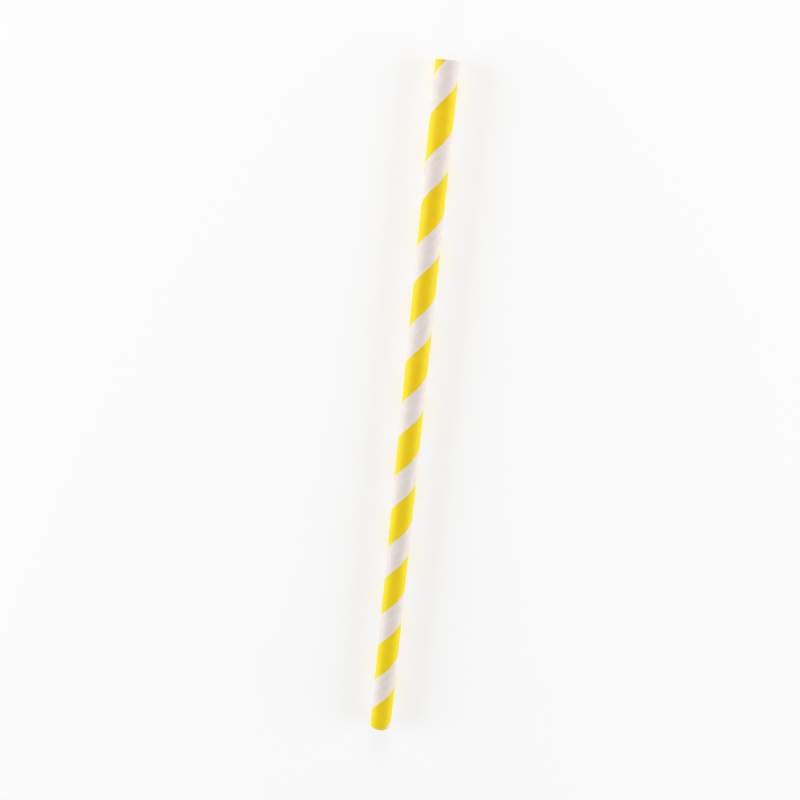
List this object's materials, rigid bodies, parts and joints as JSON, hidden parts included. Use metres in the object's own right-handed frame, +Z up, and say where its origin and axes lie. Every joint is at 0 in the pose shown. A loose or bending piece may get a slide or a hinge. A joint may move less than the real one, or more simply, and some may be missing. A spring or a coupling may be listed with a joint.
{
  "type": "paper drinking straw",
  "caption": "Straight round drinking straw wound from glued paper strips, open at both square-cut ends, printed with yellow and white spiral stripes.",
  "frame": {"origin": "on the surface that the straw lies on, under the middle of its length", "axes": "+X along the straw towards the end at the top of the picture, +Z up out of the surface, +Y to its left"},
  "size_m": [0.197, 0.0062, 0.0063],
  "materials": {
    "striped_paper": "matte"
  },
  "bodies": {
    "root": {"straw_tube": "striped_paper"}
  },
  "joints": []
}
